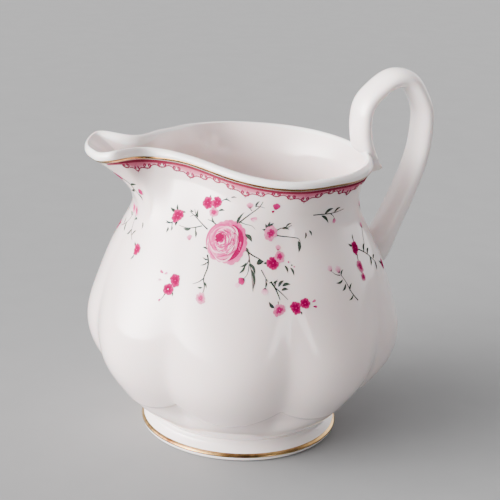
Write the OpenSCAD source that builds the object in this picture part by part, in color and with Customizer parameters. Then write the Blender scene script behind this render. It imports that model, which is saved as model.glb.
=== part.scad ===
// Porcelain cream jug: eight-lobed body, pear-shaped mouth with a pinched spout, high loop handle,
// gilded rim and foot, lace border and rose sprays laid on as separate thin transfers.
// Millimetres. Origin at the centre of the foot, +Z up, spout along -X, handle along +X.

/* [Body] */
// Radius of the belly over the middle of a lobe
belly_r = 46.9; // [44:0.1:50]
// Height of the widest part of the belly
belly_z = 33; // [30:0.5:36]
// Radius of the neck at its narrowest
neck_r = 33.6; // [31.5:0.1:35]
// Height of the mouth above the table on the handle side
mouth_z = 84.4; // [82:0.1:88]
// Thickness of the porcelain wall
wall = 2.6; // [2.2:0.1:3.2]
// Depth of the grooves between the lobes at their deepest
groove_depth = 2.1; // [0.5:0.1:2.8]
// Number of lobes around the belly
lobes = 8; // [6:1:10]

/* [Mouth and spout] */
// Radius of the mouth on the handle side
mouth_r = 36; // [35:0.1:38]
// Width of the pinched waist between the bowl and the spout
waist_w = 16; // [14:0.1:20]
// Reach of the spout tip from the axis
spout_reach = 47.6; // [45:0.1:50]
// Width of the spout at its widest
spout_w = 24; // [21:0.1:26]
// How far the mouth rises from the handle to the sides of the spout
spout_rise = 5.5; // [3:0.1:7]
// Height of the plain rounded lip above the gold line
lip_h = 2.5; // [2:0.1:3]

/* [Foot] */
// Outer radius of the foot where it rests
foot_r = 29.7; // [28.5:0.1:31]
// Height of the foot
foot_h = 5.5; // [4.5:0.1:6.5]
// Inner radius of the hollow under the foot
foot_bore_r = 24; // [22:0.1:25]

/* [Handle] */
// Width of the handle strap across the hand
strap_w = 11.2; // [9:0.1:12]
// Thickness of the handle strap
strap_t = 5.6; // [5:0.1:6.5]
// Height of the top of the handle loop
loop_top_z = 108.4; // [105:0.1:110]
// Reach of the handle loop from the axis
loop_reach = 57.3; // [56:0.1:60]

/* [Decoration] */
// Thickness of the fired transfers
print_t = 0.12; // [0.08:0.01:0.2]
// Thickness of the gilding
gold_t = 0.16; // [0.1:0.01:0.25]
// Width of the gold line on the rim
rim_gold_w = 1; // [0.6:0.1:1.4]
// Width of the gold line on the foot
foot_gold_w = 1.1; // [0.6:0.1:1.4]
// Number of scallops in the lace border
scallops = 12; // [10:1:18]

/* [Hidden] */

porcelain = [0.95, 0.94, 0.92];
gilt = [0.76, 0.55, 0.22];
lace = [0.86, 0.42, 0.52];
rose = [0.88, 0.36, 0.50];

around = 112;
gap = 0.02;
base_r = foot_r - 2.7;
neck_z = 66;
shell_top = lip_h;
spout_draw = 2.5;

// Silhouette of the lower body over the middle of a lobe, from the foot up to the neck.
prof = [
    [foot_h - 3, base_r - 4.5],
    [foot_h, base_r],
    [foot_h + 4.5, 33.6],
    [foot_h + 10.5, 39],
    [foot_h + 18.5, 44.6],
    [belly_z, belly_r],
    [belly_z + 12.5, 43.9],
    [belly_z + 25, 39],
    [neck_z, neck_r + 1.2],
    [neck_z + 10, neck_r - 3.6]
];

function clamp(x, a, b) = min(b, max(a, x));
function smooth(x) = let (t = clamp(x, 0, 1)) t * t * (3 - 2 * t);
function hermite(a, ma, b, mb, s) =
    a * (2 * s * s * s - 3 * s * s + 1) + ma * (s * s * s - 2 * s * s + s)
    + b * (3 * s * s - 2 * s * s * s) + mb * (s * s * s - s * s);

// Radius of the silhouette at height z, through the profile points with matched slopes.
function slope_at(i) = (prof[i + 1][1] - prof[i - 1][1]) / (prof[i + 1][0] - prof[i - 1][0]);
function seg_of(z, i = 1) = (i >= len(prof) - 3 || z <= prof[i + 1][0]) ? i : seg_of(z, i + 1);
function prof_r(z) =
    let (i = seg_of(z), dz = prof[i + 1][0] - prof[i][0], s = clamp((z - prof[i][0]) / dz, 0, 1))
    hermite(prof[i][1], slope_at(i) * dz, prof[i + 1][1], slope_at(i + 1) * dz, s);

// Lobes: rounded between soft grooves, strong low on the belly, faint on the neck.
function lobe_wave(th) =
    let (e = 0.22, w = sqrt(pow(sin(lobes / 2 * th), 2) + e * e) - e) 1 - w / (sqrt(1 + e * e) - e);
function groove_at(z) =
    groove_depth * smooth((z - foot_h - 2) / 9) * (1 - 0.8 * smooth((z - belly_z + 8) / 26));

// Mouth: round by the handle, pinched to a waist, drawn out to a blunt spout. One half of its outline, as
// [angle round the neck from the spout, x, half width, share of the rise].
function on_bowl(a, rise) = [a, -mouth_r * cos(a), mouth_r * sin(a), rise];
mouth_line = [
    [0, -spout_reach, 0, 0.74],
    [3.6, -spout_reach + 0.6, 4.9, 0.74],
    [6.8, -spout_reach + 1.9, 8.8, 0.78],
    [9.7, -spout_reach + 4.7, spout_w / 2 - 0.1, 0.95],
    [12.5, -spout_reach + 8.2, spout_w / 2 - 0.7, 1],
    [15.4, -spout_reach + 11.6, waist_w / 2 + 1.1, 0.95],
    [18.5, -spout_reach + 15, waist_w / 2, 0.89],
    [22.5, -spout_reach + 18.4, waist_w / 2 + 1.5, 0.86],
    [28.4, -spout_reach + 21.4, waist_w / 2 + 4.5, 0.84],
    [38.5, -22, 17, 0.74],
    [51, -17.2, 22.9, 0.57],
    [66.5, -11.8, 29, 0.4],
    [80, -5.4, 33.5, 0.26],
    on_bowl(95, 0.18),
    on_bowl(115, 0.16),
    on_bowl(135, 0.15),
    on_bowl(158, 0.1),
    on_bowl(180, 0.07)
];
line_end = len(mouth_line) - 1;
function mirrored(p, a) = [a, p[1], -p[2], p[3]];
function line_pt(i) = i < 0 ? mirrored(mouth_line[-i], -mouth_line[-i][0])
    : i > line_end ? mirrored(mouth_line[2 * line_end - i], 360 - mouth_line[2 * line_end - i][0])
    : mouth_line[i];
function line_slope(i) = (line_pt(i + 1) - line_pt(i - 1)) / (line_pt(i + 1)[0] - line_pt(i - 1)[0]);
function line_seg(a, i = 0) = (i >= line_end - 1 || a <= mouth_line[i + 1][0]) ? i : line_seg(a, i + 1);
function line_at(a) =
    let (i = line_seg(a), p = line_pt(i), q = line_pt(i + 1), da = q[0] - p[0], s = (a - p[0]) / da)
    hermite(p, line_slope(i) * da, q, line_slope(i + 1) * da, s);
function off_spout(th) = acos(-cos(th));
function side_of(th) = sin(th) < 0 ? -1 : 1;
function mouth_xy(th) = let (p = line_at(off_spout(th))) [p[1], side_of(th) * p[2]];
function mouth_h(th) = mouth_z + spout_rise * line_at(off_spout(th))[3];
// How the wall arrives at the lip: drawn forward along the spout, leaning out across the outline elsewhere.
function across(th) = let (e = 0.4, d = mouth_xy(th + e) - mouth_xy(th - e)) [d[1], -d[0]] / norm(d);
function arrival(th, from, rise) =
    let (a = off_spout(th), k = smooth((a - 14) / 16), lean = 0.35 + 0.35 * smooth((a - 50) / 40))
    (1 - k) * spout_draw * (mouth_xy(th) - from) + k * lean * rise * across(th);

// Outer surface: v from 0 at the foot to 1 at the neck and to 2 at the bottom of the lip.
neck_slope = (prof_r(neck_z) - prof_r(neck_z - 0.1)) / 0.1;
function low_skin(th, v, k) =
    let (z = foot_h + (neck_z - foot_h) * v, r = prof_r(z) - k * groove_at(z) * lobe_wave(th))
    [r * cos(th), r * sin(th), z];
function high_skin(th, v, k) =
    let (dz = mouth_h(th) - shell_top - neck_z, out = [cos(th), sin(th)],
         dent = k * groove_at(neck_z) * lobe_wave(th),
         p = hermite((prof_r(neck_z) - dent) * out, neck_slope * dz * out,
                     mouth_xy(th) - 0.2 * dent * out, arrival(th, prof_r(neck_z) * out, dz), v - 1))
    [p[0], p[1], neck_z + dz * (v - 1)];
function skin(th, v, k = 1) = v <= 1 ? low_skin(th, v, k) : high_skin(th, v, k);
function unit(p) = p / norm(p);
function normal(th, v, k = 1, e = 0.6) =
    let (w = 0.01, v1 = max(v - w, 0), v2 = min(v + w, 2))
    unit(cross(skin(th + e, v, k) - skin(th - e, v, k), skin(th, v2, k) - skin(th, v1, k)));
function on_skin(th, v, off) = skin(th, v) + off * normal(th, v);

// Angle of the i-th point round the jug: closer together at the spout.
function turn(i) = let (t = 360 * i / around) t + 36 * sin(t) - 4 * sin(2 * t);
turns = [for (i = [0:around - 1]) turn(i)];

// Closed solid through rings of equal length; caps are fans round the two given centre points.
module loft_capped(rings, first_mid, last_mid) {
    n = len(rings[0]);
    m = len(rings);
    pts = concat([for (r = rings) for (p = r) p], [first_mid, last_mid]);
    sides = [for (j = [0:m - 2]) for (i = [0:n - 1]) let (q = (i + 1) % n)
        for (f = [[j * n + i, (j + 1) * n + i, j * n + q], [(j + 1) * n + i, (j + 1) * n + q, j * n + q]]) f];
    first = [for (i = [0:n - 1]) [m * n, i, (i + 1) % n]];
    last = [for (i = [0:n - 1]) [m * n + 1, (m - 1) * n + (i + 1) % n, (m - 1) * n + i]];
    polyhedron(pts, concat(sides, first, last), convexity = 10);
}

// Closed ring-shaped solid: sections of equal length joined all the way round.
module loft_ring(sections) {
    n = len(sections[0]);
    m = len(sections);
    pts = [for (s = sections) for (p = s) p];
    polyhedron(pts, [for (j = [0:m - 1]) for (i = [0:n - 1]) let (q = (i + 1) % n, k = (j + 1) % m)
        for (f = [[j * n + i, j * n + q, k * n + i], [k * n + i, j * n + q, k * n + q]]) f], convexity = 10);
}

outer_v = concat([for (i = [0:14]) i / 15], [for (i = [0:8]) 1 + i / 9], [2]);
inner_v = concat([2], [for (i = [6:-1:1]) 1 + i / 7], [for (i = [8:-1:1]) 0.02 + 0.98 * i / 8]);
inner_lobe = 0.5;
floor_z = foot_h + wall;
floor_r = 18;

// The wall thins a little towards the spout; normals taken over a wider span keep its inside fair.
function wall_at(th) = let (a = off_spout(th)) wall * (1 - 0.2 * exp(-a * a / 250));
function inner_point(th, v) =
    let (p = skin(th, v, inner_lobe) - wall_at(th) * normal(th, v, inner_lobe, 3))
    [p[0], p[1], max(p[2], floor_z)];

module jug_body() {
    rings = concat(
        [for (v = outer_v) [for (t = turns) skin(t, v)]],
        [for (v = inner_v) [for (t = turns) inner_point(t, v)]],
        [[for (t = turns) [floor_r * cos(t), floor_r * sin(t), floor_z]]]
    );
    color(porcelain)
        loft_capped(rings, [0, 0, foot_h], [0, 0, floor_z]);
}

// Rounded edge of the wall above the gold line.
module rim_lip() {
    steps = 7;
    color(porcelain)
        loft_ring([for (t = turns)
            let (a = skin(t, 2), b = inner_point(t, 2), mid = (a + b) / 2, d = (b - a) / 2)
            [for (i = [0:steps]) let (g = 180 * i / steps, c = cos(g), s = sin(g))
                mid - d * sign(c) * pow(abs(c), 0.8) * (1 + 0.12 * s)
                    + [0, 0, (mouth_h(t) - mid[2]) * pow(s, 0.8)]]]);
}

// Turned foot: concave side flaring to the resting edge, hollow underneath.
module foot_ring() {
    color(porcelain)
        rotate_extrude($fn = 96)
            polygon([
                [foot_bore_r, 1.2],
                [foot_r - 3.4, 0],
                [foot_r - 0.7, 0],
                [foot_r, 0.7],
                [foot_r, 1.2],
                [foot_r - 0.6, foot_h * 0.42],
                [foot_r - 1.6, foot_h * 0.62],
                [foot_r - 2.4, foot_h * 0.78],
                [foot_r - 2.5, foot_h * 0.86],
                [base_r - 0.1, foot_h],
                [foot_bore_r - 0.6, foot_h]
            ]);
}

// Handle centre line in the plane of symmetry, [x, z], from behind the lip round the loop to the shoulder.
in_x = loop_reach - strap_t / 2;
in_z = loop_top_z - strap_t / 2;
spine = [
    [mouth_r + 3.7, mouth_z - 2],
    [mouth_r + 2.1, mouth_z + 1.2],
    [mouth_r - 0.3, mouth_z + 5],
    [mouth_r - 1.4, mouth_z + 9],
    [mouth_r - 0.6, mouth_z + 13.6],
    [mouth_r + 2.7, in_z - 3.7],
    [mouth_r + 7.4, in_z - 0.5],
    [mouth_r + 12.3, in_z - 0.8],
    [in_x - 3, in_z - 4.4],
    [in_x - 0.6, in_z - 9.6],
    [in_x, mouth_z + 5.4],
    [in_x - 1, mouth_z - 1.6],
    [in_x - 3.6, mouth_z - 9],
    [in_x - 6.6, mouth_z - 16],
    [in_x - 9.6, mouth_z - 22.6]
];
spans = len(spine) - 1;
function bend(a, b, c, d, s) = 0.5 * (2 * b + (c - a) * s + (2 * a - 5 * b + 4 * c - d) * s * s
    + (3 * b - a - 3 * c + d) * s * s * s);
function spine_pt(i) = i < 0 ? 2 * spine[0] - spine[1]
    : i > spans ? 2 * spine[spans] - spine[spans - 1]
    : spine[i];
function spine_at(u) =
    let (x = clamp(u, 0, 1) * spans, i = min(floor(x), spans - 1))
    bend(spine_pt(i - 1), spine[i], spine[i + 1], spine_pt(i + 2), x - i);
function spine_dir(u) = unit(spine_at(min(u + 0.01, 1)) - spine_at(max(u - 0.01, 0)));

// Rounded strap section at station u, starting at its outer edge.
strap_n = 24;
function strap_w_at(u) = strap_w * (1 + 0.04 * pow(1 - u, 8) + 0.06 * pow(u, 6));
function strap_t_at(u) = strap_t * (0.95 + 0.1 * pow(1 - u, 10) - 0.05 * u + 0.12 * pow(u, 4));
function soft(x, p) = sign(x) * pow(abs(x), p);
function strap_ring(u) =
    let (c = spine_at(u), d = spine_dir(u), w = strap_w_at(u) / 2, t = strap_t_at(u) / 2)
    [for (i = [0:strap_n - 1]) let (g = 360 * i / strap_n, q = t * soft(cos(g), 0.9))
        [c[0] - d[1] * q, w * soft(sin(g), 0.8), c[1] + d[0] * q]];

module handle_strap() {
    stations = 36;
    color(porcelain)
        loft_capped([for (i = [stations:-1:0]) strap_ring(i / stations)],
            [spine[spans][0], 0, spine[spans][1]], [spine[0][0], 0, spine[0][1]]);
}

// Station v on the outer surface that lies at height z.
function v_of(th, z) = z <= neck_z
    ? (z - foot_h) / (neck_z - foot_h)
    : 1 + (z - neck_z) / (mouth_h(th) - shell_top - neck_z);
function reach(th, z) = let (p = skin(th, v_of(th, z))) norm([p[0], p[1]]);
// Distance of the outer surface from the YZ plane on the handle side, at sideways offset y and height z.
function skin_x(y, z) =
    let (a = asin(y / neck_r), b = asin(y / reach(a, z)), r = reach(b, z))
    sqrt(r * r - y * y);

// Upper joint: carries the strap down behind the lip to the neck and ends in a small pointed spur.
joint_top = [
    // height, outer reach, half width
    [-2.2, 6.3, 5.5],
    [-3.2, 6.2, 5.2],
    [-4.2, 6.2, 4.7],
    [-5.2, 6.4, 4],
    [-6, 6.5, 3.3],
    [-6.6, 6.2, 2.9],
    [-7.2, 5.2, 2.6],
    [-8, 3.2, 2.3],
    [-9, 1.3, 2],
    [-9.6, 0.4, 1.7]
];
function joint_inner(y, z) = z > mouth_z - lip_h - 0.6 ? mouth_r + 0.3 : skin_x(y, z) + 2 * gap;
function joint_section(q) =
    let (z = mouth_z + q[0], tip = mouth_r + q[1], w = q[2], n = strap_n)
    [for (i = [0:n - 1])
        let (g = 360 * i / n, y = w * soft(sin(g), 0.8), x0 = joint_inner(y, z))
        [cos(g) > 0.001 ? x0 + max(tip - x0, 0.3) * pow(cos(g), 0.7) : x0, y, z]];
module handle_top_joint() {
    last = len(joint_top) - 1;
    rings = [for (i = [last:-1:0]) joint_section(joint_top[i])];
    z0 = mouth_z + joint_top[last][0];
    z1 = mouth_z + joint_top[0][0];
    color(porcelain)
        loft_capped(rings, [skin_x(0, z0) + 0.2, 0, z0], [mouth_r + 3, 0, z1]);
}

// Lower joint: a fillet of clay that spreads the end of the strap on to the shoulder.
low_z = 54;
low_h = 5.8;
low_w = 6.5;
function on_shoulder(g, f) =
    let (z = low_z - low_h * f * cos(g), y = low_w * f * sin(g), x = skin_x(y, z), th = atan2(y, x))
    on_skin(th, v_of(th, z), 2 * gap);
function bezier(a, b, c, d, s) = let (t = 1 - s)
    t * t * t * a + 3 * t * t * s * b + 3 * t * s * s * c + s * s * s * d;
module handle_low_joint() {
    start = strap_ring(1);
    d2 = spine_dir(1);
    d = [d2[0], 0, d2[1]];
    steps = 6;
    bottom = [for (i = [0:strap_n - 1]) on_shoulder(360 * i / strap_n, 1)];
    function mid_ring(s) = [for (i = [0:strap_n - 1])
        let (a = start[i] + d * gap, e = bottom[i], l = norm(e - a), th = atan2(e[1], e[0]))
        bezier(a, a + d * l * 0.45, e + normal(th, v_of(th, e[2])) * l * 0.28, e, s)];
    rings = concat(
        [for (f = [1 / 3, 2 / 3]) [for (i = [0:strap_n - 1]) on_shoulder(360 * i / strap_n, f)]],
        [for (i = [steps:-1:0]) mid_ring(i / steps)]
    );
    e = spine_at(1);
    color(porcelain)
        loft_capped(rings, on_shoulder(0, 0), [e[0], 0, e[1]] + d * gap);
}

// Thin band on the outside, between two stations that may vary round the jug.
module band(low, high, t) {
    loft_ring([for (i = [0:around - 1]) let (a = turns[i], v0 = low[i], v1 = high[i], vm = (v0 + v1) / 2)
        [on_skin(a, v0, 2 * gap + t), on_skin(a, vm, 2 * gap + t), on_skin(a, v1, 2 * gap + t),
         on_skin(a, v1, 2 * gap), on_skin(a, vm, 2 * gap), on_skin(a, v0, 2 * gap)]]);
}
function below_lip(th, drop) = 2 - drop / (mouth_h(th) - shell_top - neck_z);

module rim_gold_line() {
    color(gilt)
        band([for (t = turns) below_lip(t, rim_gold_w)], [for (t = turns) below_lip(t, 0.05)], gold_t);
}

// Lace border under the gold line, its lower edge in scallops.
lace_min = 2.3;
lace_max = 3.9;
lace_turn = 68.9;
function scallop(th) = let (a = off_spout(th) - lace_turn)
    lace_min + (lace_max - lace_min) * pow(abs(cos(scallops / 2 * a)), 1.5);
module rim_lace_border() {
    color(lace)
        band([for (t = turns) below_lip(t, rim_gold_w + scallop(t))],
            [for (t = turns) below_lip(t, rim_gold_w + 0.1)], print_t);
}

module foot_gold_line() {
    z0 = 1.3;
    r = foot_r - gap;
    foot_taper = 0.12;
    color(gilt)
        rotate_extrude($fn = 96)
            polygon([
                [r, z0],
                [r + gold_t, z0],
                [r + gold_t - foot_taper, z0 + foot_gold_w],
                [r - foot_taper, z0 + foot_gold_w]
            ]);
}

// Printed shapes, as [angle, height, size, kind, tilt] on the near side; mirrored for the far side.
ROSE = 0;
BLOSSOM = 1;
LEAF = 2;
BUD = 3;
function outline(kind, a) =
    kind == ROSE ? 0.92 + 0.08 * cos(7 * a)
    : kind == BLOSSOM ? 0.78 + 0.22 * cos(5 * a)
    : kind == LEAF ? 1 / sqrt(pow(cos(a), 2) + pow(sin(a) / 0.34, 2))
    : 1 / sqrt(pow(cos(a), 2) + pow(sin(a) / 0.62, 2));
function spot_n(kind) = kind == ROSE ? 28 : kind == BLOSSOM ? 20 : 10;
module spot(p) {
    n = spot_n(p[3]);
    m = ceil(p[2] / 2);
    r = reach(p[0], p[1]);
    function at(f, a, off) =
        let (l = p[2] * f * outline(p[3], a), dx = l * cos(a + p[4]), dz = l * sin(a + p[4]),
             th = p[0] + dx / r * 180 / PI)
        on_skin(th, v_of(th, p[1] + dz), off);
    function ring(f, off) = [for (i = [0:n - 1]) at(f, 360 * i / n, off)];
    loft_capped(
        concat([for (j = [1:m]) ring(j / m, 3 * gap)], [for (j = [m:-1:1]) ring(j / m, 3 * gap + print_t)]),
        at(0, 0, 3 * gap), at(0, 0, 3 * gap + print_t));
}
module spray(spots, side) {
    color(rose)
        for (p = spots) spot([side * p[0], p[1], p[2], p[3], side < 0 ? 180 - p[4] : p[4]]);
}

rose_spray = [
    [117, 68, 6.2, ROSE, 10], [130, 77, 1.7, BLOSSOM, 0], [124.5, 78, 1.7, BLOSSOM, 30],
    [125.5, 74.5, 1.4, BLOSSOM, 50], [133, 73.5, 1.6, LEAF, 120], [131, 69.5, 1.5, LEAF, 150],
    [135, 66.5, 1, BUD, 0], [126, 63.5, 1.6, LEAF, 100], [124, 60, 1.3, LEAF, 60],
    [124, 54, 1.2, BLOSSOM, 0], [112, 76, 2, LEAF, 60], [106, 78, 1, BUD, 60],
    [104.5, 74.5, 1.1, BUD, 20], [96, 71, 1.9, BLOSSOM, 10], [98.5, 73, 1.3, LEAF, 100],
    [90.5, 72.5, 1.5, LEAF, 20], [83, 66, 1.4, LEAF, 80], [104, 69, 1.5, LEAF, 130],
    [95.5, 63, 1.6, BLOSSOM, 40], [91, 65.5, 1.4, BLOSSOM, 0], [101.5, 63.5, 1.7, LEAF, 140],
    [107, 62, 1.6, LEAF, 70], [109, 58.5, 1, BUD, 90], [100, 57, 1.2, BLOSSOM, 20],
    [89, 62, 1.3, LEAF, 40]
];
low_sprig = [
    [94, 51.5, 1.5, BLOSSOM, 0], [97.5, 53.5, 1.3, LEAF, 130], [86.5, 52, 1.4, BLOSSOM, 30],
    [83, 53, 1.3, BLOSSOM, 60], [78, 52, 1, BUD, 0], [90.5, 56, 1.4, LEAF, 30],
    [95, 57.5, 1.3, LEAF, 110]
];
high_sprig = [[93.5, 78, 1.1, BUD, 90], [73, 75, 1.4, LEAF, 20], [66, 76, 1.3, LEAF, 160],
    [60, 72, 1.2, BUD, 60], [56, 74.5, 1.5, LEAF, 10]];
side_sprig = [[69, 61, 0.9, BUD, 90], [64.5, 60.5, 0.9, BUD, 80], [67.5, 57, 1.2, LEAF, 100],
    [62.5, 54.5, 1.4, LEAF, 130], [58.5, 51, 1.3, LEAF, 150]];
spout_sprig = [[145.5, 72.5, 1.7, BLOSSOM, 0], [149, 70, 1.3, LEAF, 120], [142, 74, 1.3, LEAF, 60],
    [136.5, 57, 1.6, BLOSSOM, 20], [138.5, 54, 1.5, BLOSSOM, 50], [142, 55.5, 0.9, BUD, 0],
    [168, 77, 1.4, LEAF, 50], [164, 74.5, 1, BUD, 40], [162, 61, 1.4, BLOSSOM, 0],
    [166, 66, 1.2, LEAF, 80]];
handle_sprig = [[48, 63, 1.6, BLOSSOM, 0], [49.5, 57.5, 1.5, BLOSSOM, 30], [50, 54.5, 1.1, BLOSSOM, 10],
    [37, 60.5, 1.6, LEAF, 110], [40.5, 58, 1.4, LEAF, 60], [33, 67, 1, BUD, 90], [43, 66.5, 1.3, LEAF, 30]];

module front_rose_spray() spray(rose_spray, -1);
module back_rose_spray() spray(rose_spray, 1);
module front_low_sprig() spray(low_sprig, -1);
module back_low_sprig() spray(low_sprig, 1);
module front_high_sprig() spray(high_sprig, -1);
module back_high_sprig() spray(high_sprig, 1);
module front_side_sprig() spray(side_sprig, -1);
module back_side_sprig() spray(side_sprig, 1);
module front_spout_sprig() spray(spout_sprig, -1);
module back_spout_sprig() spray(spout_sprig, 1);
module front_handle_sprig() spray(handle_sprig, -1);
module back_handle_sprig() spray(handle_sprig, 1);

jug_body();
rim_lip();
foot_ring();
handle_strap();
handle_top_joint();
handle_low_joint();
rim_gold_line();
foot_gold_line();
rim_lace_border();
front_rose_spray();
back_rose_spray();
front_low_sprig();
back_low_sprig();
front_high_sprig();
back_high_sprig();
front_side_sprig();
back_side_sprig();
front_spout_sprig();
back_spout_sprig();
front_handle_sprig();
back_handle_sprig();
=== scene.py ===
"""Looks of a lobed porcelain cream jug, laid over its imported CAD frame.
Shapes are worked out in millimetres and made in metres. Spout along -X, handle along +X, +Z up."""
import math
import random

import bpy
import numpy as np
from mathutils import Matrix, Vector


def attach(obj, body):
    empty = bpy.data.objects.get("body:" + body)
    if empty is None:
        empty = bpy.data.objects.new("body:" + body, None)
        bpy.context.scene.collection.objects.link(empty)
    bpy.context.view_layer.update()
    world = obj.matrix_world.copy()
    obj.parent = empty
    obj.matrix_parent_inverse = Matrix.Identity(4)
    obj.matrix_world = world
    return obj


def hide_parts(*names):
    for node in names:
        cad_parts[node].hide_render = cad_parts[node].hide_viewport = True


MM = 0.001
DEG = math.pi / 180

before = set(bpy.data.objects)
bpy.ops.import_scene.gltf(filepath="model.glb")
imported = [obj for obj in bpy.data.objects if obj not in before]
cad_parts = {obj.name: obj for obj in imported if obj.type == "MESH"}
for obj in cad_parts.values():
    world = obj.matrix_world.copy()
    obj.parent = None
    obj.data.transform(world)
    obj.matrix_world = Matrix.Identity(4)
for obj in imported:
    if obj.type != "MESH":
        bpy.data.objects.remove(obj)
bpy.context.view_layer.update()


# ---- curves

def spline(x, y):
    """Natural cubic spline through the rows of y at the knots x, as a function of x."""
    x = np.asarray(x, float)
    y = np.asarray(y, float).reshape(len(x), -1)
    n, h = len(x), np.diff(x)
    lhs, rhs = np.eye(n), np.zeros_like(y)
    for i in range(1, n - 1):
        lhs[i, i - 1:i + 2] = h[i - 1], 2 * (h[i - 1] + h[i]), h[i]
        rhs[i] = 6 * ((y[i + 1] - y[i]) / h[i] - (y[i] - y[i - 1]) / h[i - 1])
    m = np.linalg.solve(lhs, rhs)

    def at(q):
        q = np.asarray(q, float)
        i = np.clip(np.searchsorted(x, q) - 1, 0, n - 2)
        t, w = (q - x[i])[..., None], h[i][..., None]
        return (y[i] + t * ((y[i + 1] - y[i]) / w - w * (2 * m[i] + m[i + 1]) / 6)
                + t ** 2 * m[i] / 2 + t ** 3 * (m[i + 1] - m[i]) / (6 * w))
    return at


def through(points, count):
    """count points along a smooth curve through the given points, by chord length."""
    p = np.asarray(points, float)
    if len(p) == 2:
        return p[0] + (p[1] - p[0]) * np.linspace(0, 1, count)[:, None]
    d = np.concatenate([[0], np.cumsum(np.linalg.norm(np.diff(p, axis=0), axis=1))])
    return spline(d, p)(np.linspace(0, d[-1], count))


def smooth(x):
    t = np.clip(x, 0, 1)
    return t * t * (3 - 2 * t)


def hermite(a, ma, b, mb, s):
    return (a * (2 * s ** 3 - 3 * s * s + 1) + ma * (s ** 3 - 2 * s * s + s)
            + b * (3 * s * s - 2 * s ** 3) + mb * (s ** 3 - s * s))


def unit(v):
    return v / np.linalg.norm(v, axis=-1)[..., None]


# ---- the jug's outer surface

BELLY_R, BELLY_Z, NECK_R, NECK_Z = 46.9, 33.0, 33.6, 66.0
MOUTH_Z, MOUTH_R, WALL, LIP_H = 84.4, 36.0, 2.6, 1.6
SPOUT_REACH, SPOUT_W, WAIST_W, SPOUT_RISE, SPOUT_DRAW = 47.6, 24.0, 16.0, 5.5, 2.5
FOOT_R, FOOT_H, FOOT_BORE = 29.7, 5.5, 24.0
BASE_R = FOOT_R - 2.7
LOBES, GROOVE, GROOVE_ROUND, GROOVE_LOSS = 8, 2.9, 0.17, 0.82
PETAL_CUSP_Z, PETAL_DROP, PETAL_STEP, PETAL_BLEND = 19.8, 5.0, 0.8, 1.8
CREASE, CREASE_W = 0.3, 0.4

silhouette = spline(*zip(
    (FOOT_H - 3, BASE_R - 4.5), (FOOT_H, BASE_R), (FOOT_H + 4.5, 33.6), (FOOT_H + 10.5, 39),
    (FOOT_H + 18.5, 44.6), (BELLY_Z, BELLY_R), (BELLY_Z + 12.5, 43.9), (BELLY_Z + 25, 39),
    (NECK_Z, NECK_R + 1.2), (NECK_Z + 10, NECK_R - 3.6)))


def prof_r(z):
    """Radius of the body over the middle of a lobe."""
    return silhouette(z)[..., 0]


def lobe_wave(th):
    """1 in the grooves between lobes, 0 over the middle of a lobe."""
    e = GROOVE_ROUND
    w = np.sqrt(np.sin(LOBES / 2 * th * DEG) ** 2 + e * e) - e
    return 1 - w / (math.sqrt(1 + e * e) - e)


def groove_at(z):
    """Depth of the grooves: none at the foot, full below the belly, most of it lost again by the neck."""
    return GROOVE * smooth((z - FOOT_H - 2) / 8) * (1 - GROOVE_LOSS * smooth((z - BELLY_Z + 6) / 28))


def petal_step(th, z):
    """Each lobe ends above the foot in a petal-like arc: a fine crease, and a cone a little inside it below.
    A second fine line rings the body where it stands on the foot."""
    petal = PETAL_CUSP_Z - PETAL_DROP * np.abs(np.sin(LOBES / 2 * th * DEG)) ** 0.7
    step = PETAL_STEP * (smooth((z - petal) / PETAL_BLEND + 0.5) - 1) * smooth((z - FOOT_H) / 5)
    crease = CREASE * np.exp(-((z - petal) / CREASE_W) ** 2)
    ring_line = CREASE * np.exp(-((z - FOOT_H) / CREASE_W) ** 2)
    return step - crease - ring_line


def on_bowl(a, rise):
    return [a, -MOUTH_R * math.cos(a * DEG), MOUTH_R * math.sin(a * DEG), rise]


# Half of the mouth's outline: angle round the neck from the spout, x, half width, share of the rise.
half_mouth = np.array([
    [0, -SPOUT_REACH, 0, 0.74], [3.6, -SPOUT_REACH + 0.6, 4.9, 0.74], [6.8, -SPOUT_REACH + 1.9, 8.8, 0.78],
    [9.7, -SPOUT_REACH + 4.7, SPOUT_W / 2 - 0.1, 0.95], [12.5, -SPOUT_REACH + 8.2, SPOUT_W / 2 - 0.7, 1],
    [15.4, -SPOUT_REACH + 11.6, WAIST_W / 2 + 1.1, 0.95], [18.5, -SPOUT_REACH + 15, WAIST_W / 2, 0.89],
    [22.5, -SPOUT_REACH + 18.4, WAIST_W / 2 + 1.5, 0.86],
    [28.4, -SPOUT_REACH + 21.4, WAIST_W / 2 + 4.5, 0.84],
    [38.5, -22, 17, 0.74], [51, -17.2, 22.9, 0.57], [66.5, -11.8, 29, 0.4], [80, -5.4, 33.5, 0.26],
    on_bowl(95, 0.18), on_bowl(115, 0.16), on_bowl(135, 0.15), on_bowl(158, 0.1), on_bowl(180, 0.07)])
before = half_mouth[:0:-1] * [-1, 1, -1, 1]
after = half_mouth[-2::-1] * [-1, 1, -1, 1] + [360, 0, 0, 0]
whole_mouth = np.concatenate([before, half_mouth, after])
mouth_line = spline(whole_mouth[:, 0], whole_mouth[:, 1:])


def off_spout(th):
    """How far an angle round the jug is from the spout, 0 to 180 degrees."""
    return np.degrees(np.arccos(np.clip(-np.cos(th * DEG), -1, 1)))


def mouth_xy(th):
    p = mouth_line(off_spout(th))
    return np.stack([p[..., 0], np.where(np.sin(th * DEG) < 0, -1, 1) * p[..., 1]], -1)


def mouth_h(th):
    return MOUTH_Z + SPOUT_RISE * mouth_line(off_spout(th))[..., 2]


def lip_h(th):
    """Height of the plain lip above the gold line, a little more on the spout and towards the handle."""
    a = off_spout(th)
    return LIP_H + 0.9 * smooth((a - 108) / 30) + 0.7 * (1 - smooth((a - 14) / 24))


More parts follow.
